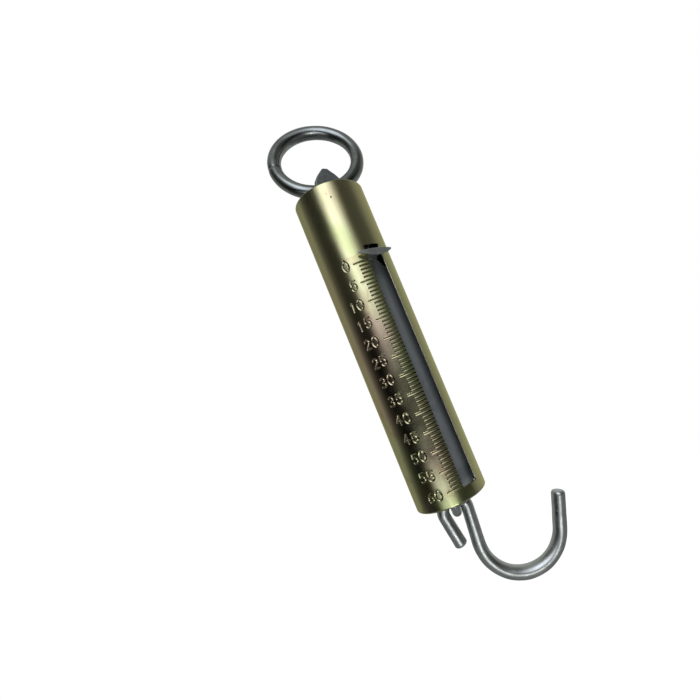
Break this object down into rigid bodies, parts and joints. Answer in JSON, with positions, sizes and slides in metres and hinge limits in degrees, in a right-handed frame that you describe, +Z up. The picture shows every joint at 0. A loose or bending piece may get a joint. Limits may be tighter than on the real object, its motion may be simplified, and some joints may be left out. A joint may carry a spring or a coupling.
{
  "type": "hanging spring scale",
  "caption": "Tubular hanging spring scale: suspension ring, slotted case with engraved divisions, sprung sliding pointer and a load hook.",
  "frame": {"origin": "centre of the suspension ring, the point the scale hangs from", "axes": "+Z up along the case tube, away from the load hook; -Y out of the case through the reading slot; +X to the right when reading the scale"},
  "size_m": [0.065, 0.0555, 0.2815],
  "materials": {
    "ring_steel": "dark zinc, glossy",
    "yellow_zinc": "yellow zinc passivate, glossy",
    "grey_steel": "dull grey zinc",
    "spring_steel": "dark oiled spring wire",
    "bar_steel": "satin blue grey",
    "dark_steel": "satin dark grey",
    "hook_zinc": "bright zinc, glossy"
  },
  "bodies": {
    "ring": {"suspension_ring": "ring_steel"},
    "case": {"case_tube": "yellow_zinc", "hanger_plate": "grey_steel", "top_link": "grey_steel", "main_spring": "spring_steel"},
    "draw": {"indicator_bar": "bar_steel", "pointer": "dark_steel", "pointer_rivets": "dark_steel", "draw_link": "grey_steel"},
    "hook": {"load_hook": "hook_zinc"}
  },
  "joints": [
    {"name": "ring_swing", "type": "hinge", "parent": "ring", "child": "case", "pos_m": [-0.00489, -0.00455, -0.02245], "axis": [0.8856, -0.4644, 0], "range_deg": [-45, 60]},
    {"name": "draw_slide", "type": "slide", "parent": "case", "child": "draw", "axis": [0, 0, -1], "range_m": [0, 0.1217], "stiffness_N_per_m": 4970, "springref_m": -0.001, "deforming": ["main_spring"]},
    {"name": "hook_swing", "type": "hinge", "parent": "draw", "child": "hook", "pos_m": [-0.00689, -0.00632, -0.20895], "axis": [-0.5807, -0.8141, 0], "range_deg": [-55, 20]}
  ]
}
